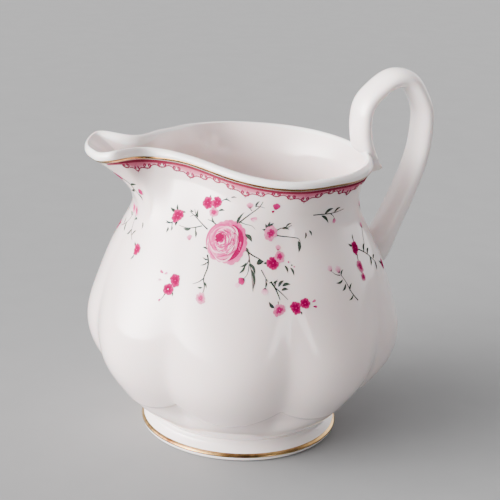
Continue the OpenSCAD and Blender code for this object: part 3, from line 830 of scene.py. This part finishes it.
def rose(p, ang, z, r):
    """The full rose: ruffled deep-pink petals round a pale ball of folded petals with a deep heart."""
    def fold(cx, cz, radius, start, end, width, ink, lift, end_ink, wave=0.0):
        """A crescent: part of a wavering circle, drawn with a pen that swells in the middle.
        Its lengths are shares of the rose's radius."""
        count = max(7, int(abs(end - start) / 7))
        g = np.linspace(start, end, count) * DEG
        rad = radius * (1 + wave * np.sin(3 * g + 9 * radius * r))
        line = r * np.stack([cx + rad * np.cos(g), cz + rad * np.sin(g)], -1)
        swell = r * width * np.sin(np.linspace(0.25, math.pi - 0.25, count))
        p.ribbon(ang, z, line, swell, ink, lift, end_ink)

    for i in range(10):  # outer petals: deepest on the right and at the top, paler below left
        g = 36 * i + 8 + rng.uniform(-6, 6)
        deep = max(0.0, math.cos((g - 30) * DEG))
        pale = max(0.0, math.cos((g + 110) * DEG))
        ink = blend_ink(ROSE_PINK, DEEP, 0.4 + 0.6 * deep)
        edge = blend_ink(blend_ink(PINK, ROSE_PINK, 0.55 + 0.45 * deep), PALE, 0.2 * pale)
        p.petal(ang, z, 0, 0, g, r * rng.uniform(0.92, 1.05), r * 0.74, ink, edge, 0.05 + 0.003 * i, 0.12,
                rim=blend_ink(PALE, PINK, 0.6 + 0.4 * deep))
    fold(-0.1, 0, 0.73, -88, 72, 0.22, DEEP, 0.082, DEEP)
    fold(-0.02, 0.02, 0.8, -60, 40, 0.08, PINK, 0.084, PINK)
    fold(-0.08, 0.02, 0.76, -150, -92, 0.1, ROSE_PINK, 0.084, PINK)
    fold(-0.14, 0, 0.8, 120, 205, 0.09, ROSE_PINK, 0.084, PINK)
    bx, bz, hx, hz = -0.16, -0.02, -0.36, 0.16  # middles of the ball and of the heart
    for i in range(7):  # the ball, its outline softly lobed
        p.petal(ang, z, bx * r, bz * r, 360 / 7 * i + 20, 0.7 * r, 0.72 * r, ROSE_PINK, PINK,
                0.09 + 0.002 * i, 0.07, rim=PALE)
    # Folded petals open from the heart to the lower right; each is a pale fold with its shadow inside.
    for k, start, end in ((1.0, -118, -22), (0.97, 2, 66), (0.86, -72, 22), (0.8, 42, 104),
                          (0.74, -156, -78), (0.64, -58, 34), (0.56, 62, 134), (0.5, -142, -56),
                          (0.42, -34, 66), (0.36, 104, 196), (0.29, -116, -6), (0.24, 24, 120)):
        cx, cz = hx + (bx - hx) * k, hz + (bz - hz) * k
        fold(cx, cz, 0.68 * k, start, end, 0.075, BLUSH, 0.12, PALE, 0.12)
        fold(cx, cz, 0.68 * k - 0.07, start + 8, end - 4, 0.065, ROSE_PINK, 0.134, DEEP, 0.12)
    fold(hx + 0.08, hz - 0.04, 0.38, 105, 215, 0.1, ROSE_PINK, 0.127, PINK, 0.05)
    fold(hx + 0.14, hz - 0.1, 0.6, 88, 140, 0.1, ROSE_PINK, 0.127, PINK, 0.05)
    fold(hx + 0.12, hz - 0.06, 0.56, 168, 232, 0.07, PINK, 0.127, ROSE_PINK, 0.05)
    for i in range(60):  # fine pale and rose streaks along the folds
        g, q = rng.uniform(-125, 45), rng.uniform(0.22, 0.68)
        ink = (BLUSH, PINK, BLUSH, ROSE_PINK)[i % 4]
        fold(hx + 0.3 * q, hz - 0.25 * q, 0.92 * q, g, g + rng.uniform(16, 40), 0.026, ink, 0.15, ink, 0.07)
    for i in range(5):
        p.petal(ang, z, hx * r, hz * r, 72 * i + 20, r * rng.uniform(0.15, 0.24), r * 0.2, CRIMSON, DEEP,
                0.16 + 0.002 * i, 0.1)
    p.dot(ang, z, hx * r, hz * r, r * 0.06, CRIMSON, 0.18)


def rose_spray(p):
    rose(p, 116.6, 68.2, 6.1)
    # upper left twigs
    p.stem([(127.2, 70.6), (131, 71.9), (134, 73), (137.2, 74.1)], 0.2)
    p.stem([(134, 73), (135.6, 73.4), (137.5, 72.8)], 0.16)
    p.stem([(134.6, 73.1), (135.8, 74), (136.5, 74.9)], 0.16)
    p.leaves((134, 73, 134.9, 75, 0.5), (137.2, 74.1, 138.8, 74.6, 0.45))
    p.stem([(130.5, 71.2), (133.5, 70.5), (137, 70), (141, 70.2)], 0.18)
    p.leaf(135.8, 70.1, 139.4, 69.7, 0.8)
    p.stem([(133.5, 70.5), (133.2, 69.6), (132.5, 68.4)], 0.2)
    p.leaf(133.2, 69.8, 132.2, 68, 0.45)
    p.stem([(123.2, 72), (125.5, 72.7), (127.8, 73)], 0.2)
    p.leaf(124.6, 72.5, 126.6, 74.1, 0.4)
    p.bud(134.9, 67.2, 110, 1.5, calyx=False)
    p.leaf(127.4, 66.2, 124.6, 65.6, 0.5)
    # the trio above the rose
    p.blossom(131, 77.1, 1.6, turn=10)
    p.blossom(125.9, 77.7, 1.6, turn=40)
    p.blossom(126.4, 75, 1.35, ROSE_PINK, PALE, turn=70)
    p.leaf(129.6, 77.9, 130.2, 79.3, 0.6)
    p.stem([(124.4, 78), (122.4, 78.8), (121.4, 79.4)], 0.16)
    p.leaves((123, 78.7, 119, 78.3, 0.4), (118.6, 79.5, 115.8, 79.8, 0.4),
             (124.2, 75.6, 121.4, 75.9, 0.6))
    # lower left stem
    p.stem([(124.6, 64.6), (123.6, 63), (123.7, 60.6), (124.3, 58.6), (123.4, 56.8), (123.8, 55)], 0.26)
    p.leaves((123.5, 63.4, 126.6, 63.9, 0.4), (123.5, 63.1, 127, 61.8, 0.35))
    p.stem([(124.2, 58.9), (126, 57.9), (128.9, 57)], 0.17)
    p.leaves((124.2, 56.6, 126.6, 56.5, 0.5), (124.2, 58, 122.4, 56.5, 0.5))
    p.blossom(124.2, 53.9, 1.45, PINK, BLUSH, turn=20, heart=PINK)
    # upper right stem
    p.stem([(113.4, 72.6), (110.2, 74.6), (106.8, 76.6), (104.8, 78), (103.8, 79.4)], 0.24)
    p.leaves((113.2, 72.8, 111.4, 75.4, 0.8), (112.7, 73.2, 110.7, 76.1, 0.5),
             (105.2, 77.6, 103.6, 79.6, 0.55))
    p.stem([(104.9, 77.9), (103, 77.9), (101.2, 77.6)], 0.14)
    p.stem([(106.8, 76.6), (107.8, 77.2)], 0.15)
    p.bud(107.9, 77.2, 96, 1.8, DEEP, PALE)
    p.petal(107, 74.4, 0, 0, 8, 1.9, 1.0, ROSE_PINK, PALE)
    p.petal(106.8, 74.3, 0, 0, -20, 1.4, 0.8, PINK, BLUSH, 0.075)
    p.stem([(111.6, 73.4), (109, 72.9), (106.6, 72.6), (105, 71.7)], 0.14, LEAF_PALE)
    p.bud(95.2, 77.2, 80, 2.1, DEEP, ROSE_PINK, calyx=False)
    p.petal(95.6, 76.9, 0, 0, 210, 0.9, 0.8, CRIMSON, DEEP, 0.085)
    p.leaf(108.6, 70.4, 105.3, 68.5, 1.0)
    # right flower and its arc
    p.blossom(96.2, 70.7, 1.9, ROSE_PINK, PALE, petals=6)
    p.leaves(*((97.2, 71.9, *tip, 0.8) for tip in ((99.2, 73.3), (97.2, 73.9), (95.4, 73.5), (100.4, 71.8))))
    p.stem([(93.4, 71.4), (91.8, 71.9), (88.6, 72.1), (86.5, 72.7)], 0.18)
    p.leaves((91, 71.9, 87.4, 71.5, 0.7), (89, 72.1, 86, 73.3, 0.5))
    p.stem([(93.2, 70.1), (91.8, 69.9), (88.4, 69.6), (85.6, 69.3), (83.2, 68.8), (82.4, 67.4)], 0.2)
    p.leaf(82.5, 68.4, 83.1, 65.4, 1.0)
    # crimson pair with its leaf
    p.blossom(95.5, 63.3, 1.75, turn=25)
    p.blossom(92.2, 64.9, 1.5, ROSE_PINK, PALE, turn=60)
    p.bud(92.9, 66.3, 80, 1.5, PINK, PALE)
    # sprig under the rose, to the right
    p.stem([(109.2, 67), (107.4, 66.4), (105, 65.4), (103, 64.8), (101, 64.2)], 0.28)
    p.leaves((108.8, 67, 106.2, 66, 0.8), (102.8, 63.2, 99.6, 63.8, 1.3, LEAF_DARK),
             (99.8, 63.4, 97.4, 62.9, 0.6))
    p.stem([(106.8, 66.2), (106, 64.4), (107.4, 62.8), (109.9, 61)], 0.2)
    p.leaves((107.6, 62.9, 110.3, 60.8, 0.6), (107, 63.6, 110, 62.4, 0.45),
             (105.7, 63.4, 103.4, 60.6, 0.75))
    p.stem([(106, 64.4), (105, 61.6), (104.4, 58.6), (104.1, 56.6)], 0.18)
    p.leaf(105.1, 62.1, 104.2, 57, 0.7)
    p.stem([(105.9, 63.2), (107.2, 60.2), (108.2, 59.6)], 0.16)
    p.bud(107.8, 59.6, 215, 1.9, DEEP, ROSE_PINK)
    p.petal(109.2, 58.8, 0, 0, 222, 1.9, 1.3, PALE, BLUSH, 0.065)
    # lower right stems
    p.stem([(100.8, 61.8), (99.2, 60), (98, 58.9)], 0.17)
    p.stem([(98.9, 59.6), (99.1, 58.4), (99.3, 57.6)], 0.2)
    p.leaf(99, 59, 99.4, 57.4, 0.5)
    p.bud(99.4, 57.4, 262, 1.9, PINK, BLUSH)
    p.stem([(97, 58.9), (95.2, 57.2), (93.9, 55.4), (93.2, 54.2)], 0.28)
    p.stem([(95.4, 57.4), (92.8, 56), (89.8, 54.1)], 0.18)
    p.leaves((96, 58.4, 93.8, 58.9, 0.5), (95.4, 57.6, 93.9, 59.4, 0.45), (94, 57.5, 91.2, 59, 0.8),
             (92.4, 57.6, 88.4, 57.9, 0.8), (92.8, 56.6, 89.6, 56.7, 0.75),
             (96.8, 58.8, 97.9, 58.6, 0.4))
    p.leaves((90.4, 62.6, 89.4, 60.7, 0.65), (88, 62, 86.8, 59.9, 0.65))
    p.dot(88.5, 63.3, 0, 0, 0.28, ROSE_PINK)
    p.dot(87.2, 62.5, 0, 0, 0.22, LEAF_MID)
    p.dot(86.2, 62.1, 0, 0, 0.22, PINK)


def low_sprig(p):
    p.blossom(94, 51.7, 1.75, ROSE_PINK, PALE, turn=15, heart=PINK)
    p.leaf(95.9, 52.3, 98.2, 54, 0.9, LEAF_DARK)
    p.stem([(94.4, 53.9), (94.2, 52.9)], 0.18)
    p.blossom(87.4, 51.9, 1.65)
    p.blossom(83.6, 52.9, 1.6, turn=40)
    p.petal(80.6, 53, 0, 0, 20, 1.3, 0.7, ROSE_PINK, PINK)
    p.petal(80.4, 51.9, 0, 0, -12, 1.3, 0.7, DEEP, ROSE_PINK)
    p.leaf(85.7, 51, 85.2, 50, 0.5)


def high_sprig(p):
    p.stem([(74, 74.9), (70, 74.7), (65.4, 74.4), (60, 74.2), (54, 74.3)], 0.19)
    p.leaves((67, 74.5, 61.6, 75.6, 0.95), (69, 74.3, 64.6, 71.6, 0.85),
             (60.2, 74.3, 55.6, 75.2, 0.7))
    p.stem([(62.8, 74.2), (61, 73.4), (60, 72.6)], 0.15)
    p.bud(60.1, 72.6, 275, 1.5)
    p.leaves((76.4, 70.8, 75.2, 69.2, 0.6), (78.2, 70.4, 79, 68.6, 0.55))


def side_sprig(p):
    p.stem([(58, 50.5), (61.5, 53.5), (63, 56), (65, 58.4)], 0.22)
    p.leaves((61.8, 53.6, 59.2, 55.4, 0.6), (63, 55.8, 66.2, 54.2, 0.7), (64, 57, 68.6, 56.6, 0.6),
             (60.2, 52.4, 63.8, 51.4, 0.55), (64.6, 58, 62.2, 59.4, 0.5))
    p.bud(65.1, 58.8, 95, 2.0, PINK, BLUSH)
    p.stem([(65, 58.2), (67.6, 58.8), (69, 59.6)], 0.15)
    p.bud(69, 59.7, 110, 1.7, PINK, BLUSH)


def spout_sprig(p):
    # crimson flower left of the rose
    p.blossom(144.8, 72.4, 1.8, turn=30)
    p.leaves((146.4, 73.4, 149.6, 74, 0.85, LEAF_DARK), (145.4, 73.6, 146.4, 75.2, 0.6),
             (143.6, 73.2, 141.4, 73.6, 0.6), (145.2, 71.4, 144.6, 69.8, 0.8, LEAF_DARK))
    p.stem([(145.4, 71.2), (147, 70.4), (149.9, 70)], 0.18)
    p.stem([(146.8, 70.5), (146.2, 69.3)], 0.18)
    p.leaves((147, 70.4, 150.4, 70.6, 0.5), (146.4, 69.6, 145.9, 68.4, 0.5),
             (148.2, 69.2, 148.4, 67.7, 0.6))
    # lower pair
    p.blossom(136.4, 56.9, 1.65, turn=10)
    p.blossom(138.6, 54.4, 1.75, turn=50, heart=BLUSH)
    p.petal(142.7, 58, 0, 0, 160, 1.3, 0.8, ROSE_PINK, PINK)
    p.petal(142, 57.9, 0, 0, 30, 1.0, 0.7, PINK, PALE)
    p.petal(142.9, 56.3, 0, 0, 190, 0.9, 0.7, PALE, BLUSH)
    p.stem([(139.4, 53.2), (140.2, 52.2), (141, 51.4)], 0.2)
    p.petal(141, 51.5, 0, 0, 230, 0.9, 0.7, DEEP, PINK)
    p.leaf(136.8, 54, 136, 52.8, 0.4)
    # far left, under the spout
    p.stem([(173.4, 80.6), (172, 78.6), (171.6, 77), (170.4, 75.4)], 0.2)
    p.leaves((172, 78.4, 168.8, 79, 0.7), (171.7, 77.2, 174.6, 76, 0.7))
    p.bud(169.6, 76.2, 30, 1.9, DEEP, ROSE_PINK)
    p.blossom(174.6, 80.8, 1.2, turn=20)
    p.leaf(170.8, 75.8, 168.4, 73.8, 0.7)
    p.stem([(178, 68.6), (176.6, 66), (173, 63.6), (169, 62.4)], 0.2)
    p.leaves((177, 66.8, 173.6, 67.4, 0.8), (174.4, 64.6, 177.6, 62.4, 0.8),
             (171.6, 63.2, 169.4, 65, 0.6))
    p.blossom(177.4, 69.4, 1.5, ROSE_PINK, PALE, turn=40)
    p.blossom(161.8, 61.1, 1.6)
    p.leaves((163.2, 61.8, 166, 62.6, 0.6), (162, 59.9, 163.6, 58.2, 0.5),
             (166.8, 67.8, 165.2, 66, 0.6))


def handle_sprig(p):
    p.blossom(48.4, 63, 1.85, turn=20)
    p.leaves((50, 63.8, 53, 64.8, 0.7), (47.4, 64.4, 46, 66.4, 0.6))
    p.stem([(48.6, 61.4), (49.8, 60), (50, 58.8)], 0.2)
    p.blossom(50, 58.2, 1.6, ROSE_PINK, PALE)
    p.blossom(50.2, 55.4, 1.25, ROSE_PINK, PALE, turn=40)
    p.stem([(46.8, 62.4), (42, 60.8), (38, 59), (34.6, 57)], 0.22)
    p.leaves((42, 60.8, 38.6, 62.6, 0.8), (39.6, 59.9, 36, 60.9, 0.8), (38, 59.2, 40.6, 56.6, 0.9),
             (35.8, 57.8, 32.8, 58.4, 0.7), (35, 57.2, 36.6, 54.6, 0.8))
    p.bud(33.2, 66, 90, 1.7)
    p.stem([(33.4, 66), (36, 64.4), (39, 62)], 0.16)
    p.blossom(25.4, 53.9, 1.5, turn=10)
    p.leaves((27, 54.6, 29.8, 56, 0.7), (26.4, 71.6, 24.4, 69.6, 0.7))
    p.bud(26.8, 71.6, 120, 1.6, DEEP, PINK)


rng = random.Random(5)
for sprig in (rose_spray, low_sprig, high_sprig, side_sprig, spout_sprig, handle_sprig):
    for side, which in ((-1, "front"), (1, "back")):
        rng.seed(11)  # the same flowers on both sides
        piece = Print(side)
        sprig(piece)
        node = which + "_" + sprig.__name__
        piece.done(node + "_print", node)


# ---- lace border

# Angles from the spout: where the lace starts, the two ends of one swag, a deepest point.
LACE_FROM, SWAG_FROM, SWAG_TO, DEEPEST = 7.5, 84, 113, 69.2
# Lengths: fading in from the spout, left free by the handle; scrolled pairs in one swag.
LACE_FADE, LACE_STOP, PAIRS = 9, 4.5, 4


def rim_line():
    """Length along the gold line from the spout, against the angle, on one side."""
    ang = np.linspace(0, 180, 1441)
    p = skin(180 + ang, np.full(len(ang), 2.0))
    length = np.concatenate([[0], np.cumsum(np.linalg.norm(np.diff(p, axis=0), axis=1))])
    return ang, length


rim_ang, rim_len = rim_line()
lace_start, deepest = np.interp([LACE_FROM, DEEPEST], rim_ang, rim_len)
swag = float(np.diff(np.interp([SWAG_FROM, SWAG_TO], rim_ang, rim_len))[0])
lace_end = rim_len[-1] - LACE_STOP


class Lace(Print):
    """The border. Its places are a length along the gold line and a drop below it."""

    def place(self, ang, z, dx, dz, lift):
        th = 180 + np.interp(ang + dx, rim_len, rim_ang)
        return on_skin(th, below_lip(th, z + dz), lift)

    def row(self, s, *drops):
        """Rows of points along the border at several drops."""
        return np.stack([np.stack([s, drop + 0 * s], -1) for drop in drops], 1)


def grown(s):
    """How far the lace has grown to its full size at a length from the spout, 0 to 1."""
    return smooth((s - lace_start) / LACE_FADE)


def lace_drop(s):
    """How far below the gold line the outline of the lace lies."""
    w = 0.5 + 0.5 * np.cos(2 * math.pi * (s - deepest) / swag)
    return 1.55 + (0.75 + 1.35 * w ** 1.3) * grown(s)


def lace_band(p):
    """The dark line under the gold and the shaded band down to the scrolls."""
    s = np.linspace(lace_start, lace_end, 700)
    g, bottom = grown(s), lace_drop(s)
    p.sheet_of(0, 0, p.row(s, 0.84, 1.0 + 0.6 * g), np.tile(DARK_ROSE, (len(s), 2, 1)), 0.06)
    p.sheet_of(0, 0, p.row(s, 0.95 + 0.5 * g, (1.4 + bottom) / 2, bottom - 0.45),
               np.tile([DUSTY_ROSE, DUSTY_PINK, DUSTY_PALE], (len(s), 1, 1)), 0.05)


def lace_scrolls(p):
    """Mirrored pairs of scrolls joined by links, with a small fleur under each deepest pair."""
    scroll = through([[0, 0.9], [0.45, 0.95], [0.95, 0.72], [1.12, 0.3], [0.92, -0.05], [0.6, -0.08],
                      [0.45, 0.16], [0.56, 0.4], [0.76, 0.4]], 26)
    widths = 0.5 * np.concatenate([np.linspace(0.7, 1.1, 13), np.linspace(1.1, 0.75, 13)])
    step = swag / PAIRS
    first, last = math.ceil((lace_start - deepest) / step), math.floor((lace_end - 0.5 - deepest) / step)
    for k in range(first, last + 1):
        centre = deepest + k * step
        size = grown(centre + 1)
        if size < 0.25:
            continue
        drop, scale = lace_drop(centre), 0.75 + 0.25 * size
        for mirror in (-1, 1):
            line = scroll * [mirror * 0.98, 1] * scale
            p.dot(centre, drop - 0.4, mirror * 0.68 * scale, 0.02, 0.42 * scale, BLUSH, 0.062)
            p.ribbon(centre, drop - 0.55, line, widths * scale, DUSK_ROSE, 0.075)
        a, b = centre + 1.0, centre + step - 1.0
        middle = (a + b) / 2
        link = through([[a - centre, lace_drop(a) - drop + 0.1],
                        [middle - centre, lace_drop(middle) - drop - 0.25],
                        [b - centre, lace_drop(b) - drop + 0.1]], 10)
        p.ribbon(centre, drop, link, np.full(10, 0.36), DUSK_ROSE, 0.07)
        if size <= 0.8:
            continue
        if k % PAIRS:
            p.dot(centre, drop, 0, 0.62, 0.16, DUSK_ROSE, 0.08)
            continue
        for dx, dz, r in ((0, 0.75, 0.2), (-0.32, 0.62, 0.15), (0.32, 0.62, 0.15), (0, 1.12, 0.11)):
            p.dot(centre, drop, dx, dz, r, DUSK_ROSE, 0.08)
        for dx, dz in ((0, -1.25), (-0.75, -1.0), (0.75, -1.0)):
            p.dot(centre, drop, dx, dz, 0.16, ROSE_PINK, 0.08)


def build_lace():
    """One piece for both sides: the near half and its mirror image."""
    p = Lace(-1)
    lace_band(p)
    lace_scrolls(p)
    verts, tints = np.concatenate(p.verts), np.concatenate(p.tints)
    faces = [np.concatenate(kept) for kept in (p.quads, p.tris)]
    faces = [np.concatenate([f, f[:, ::-1] + len(verts)]) for f in faces]
    make("lace_border", np.concatenate([verts, verts * [1, -1, 1]]), faces, ["rim_lace_border"],
         print_ink, tint=np.concatenate([tints, tints]))


build_lace()


# ---- stage, light and camera

FLOOR_HALF, FLOOR_CELLS = 2400, 24
FLOOR_DARK, FLOOR_LIGHT = (0.22, 0.23, 0.235, 1), (0.25, 0.26, 0.265, 1)
CAMERA_PLACE, CAMERA_TURN = (-0.11539, -0.35513, 0.18341), (70.971, -2.269, -17.452)
CAMERA_LENS, CAMERA_SENSOR = 95.69, 36.0
WINDOW_SIZE, WINDOW_POWER, WINDOW_TINT = (0.15, 0.55), 1.7, (1.0, 0.98, 0.96)
WINDOW_AT, WINDOW_AWAY, WINDOW_AIM = (20, 3), 1.5, (0, 0, 0.05)

# Glows of the sky: azimuth, elevation, how narrow (0 for even light), strength, tint.
GLOWS = [
    (0, 0, 0, 0.12, (1.0, 0.95, 0.945)),
    (-112, 8, 0.5, 1.12, (1.0, 0.965, 0.95)),
    (-90, 8, 8, 34.0, (1.0, 0.955, 0.94)),
    (-20, 78, 5, 0.45, (1.0, 0.965, 0.965)),
    (118, 12, 4, 2.3, (1.0, 0.965, 0.97))]


def heading(azimuth, elevation):
    """Unit vector towards an azimuth, counted from the front to the right, and an elevation."""
    a, e = azimuth * DEG, elevation * DEG
    return math.sin(a) * math.cos(e), -math.cos(a) * math.cos(e), math.sin(e)


def build_floor():
    """A wide plain floor in a pale, faintly mottled grey."""
    mat, n, bsdf, place = surface("pale_floor", Roughness=0.75)
    n.set(bsdf.inputs["Base Color"], n.blend(n.noise(place, 60.0, 4.0), FLOOR_DARK, FLOOR_LIGHT))
    g = np.linspace(-FLOOR_HALF, FLOOR_HALF, FLOOR_CELLS + 1)
    x, y = np.meshgrid(g, g, indexing="ij")
    verts = np.stack([x, y, np.zeros_like(x)], -1).reshape(-1, 3)
    faces = grid_faces(FLOOR_CELLS + 1, FLOOR_CELLS + 1, closed=False)[:, ::-1]
    mesh_object("floor", verts, [faces], mat)


def window_light():
    """A tall soft panel a little right of the front, facing the jug."""
    light = bpy.data.lights.new("window_pane", "AREA")
    light.shape = "RECTANGLE"
    light.size, light.size_y = WINDOW_SIZE
    light.energy, light.color = WINDOW_POWER, WINDOW_TINT
    obj = bpy.data.objects.new("window_pane", light)
    bpy.context.scene.collection.objects.link(obj)
    away = WINDOW_AWAY * Vector(heading(*WINDOW_AT))
    obj.location = Vector(WINDOW_AIM) + away
    obj.rotation_euler = away.to_track_quat("Z", "Y").to_euler()


def studio():
    """Soft light from all round: each glow is even, or fades away from its own direction."""
    world = bpy.data.worlds.new("studio")
    world.use_nodes = True
    n = Nodes(world.node_tree)
    towards = n.add("TexCoord").outputs["Generated"]
    total = None
    for azimuth, elevation, narrow, strength, tint in GLOWS:
        level = strength
        if narrow:
            aim = heading(azimuth, elevation)
            facing = n.add("VectorMath", (0, towards), (1, aim), operation="DOT_PRODUCT").outputs["Value"]
            lit = n.add("Clamp", Value=facing).outputs["Result"]
            level = n.calc("MULTIPLY", n.calc("POWER", lit, narrow), strength)
        glow = n.add("Background", Color=(*tint, 1), Strength=level).outputs[0]
        total = n.add("AddShader", (0, total), (1, glow)).outputs[0] if total else glow
    n.add("OutputWorld", Surface=total)
    bpy.context.scene.world = world


def photo_camera():
    """The camera at the photo's place and angle."""
    cam = bpy.data.cameras.new("photo_camera")
    cam.lens, cam.sensor_width = CAMERA_LENS, CAMERA_SENSOR
    obj = bpy.data.objects.new("photo_camera", cam)
    bpy.context.scene.collection.objects.link(obj)
    obj.location = CAMERA_PLACE
    obj.rotation_euler = [turn * DEG for turn in CAMERA_TURN]
    bpy.context.scene.camera = obj


build_floor()
window_light()
studio()
photo_camera()
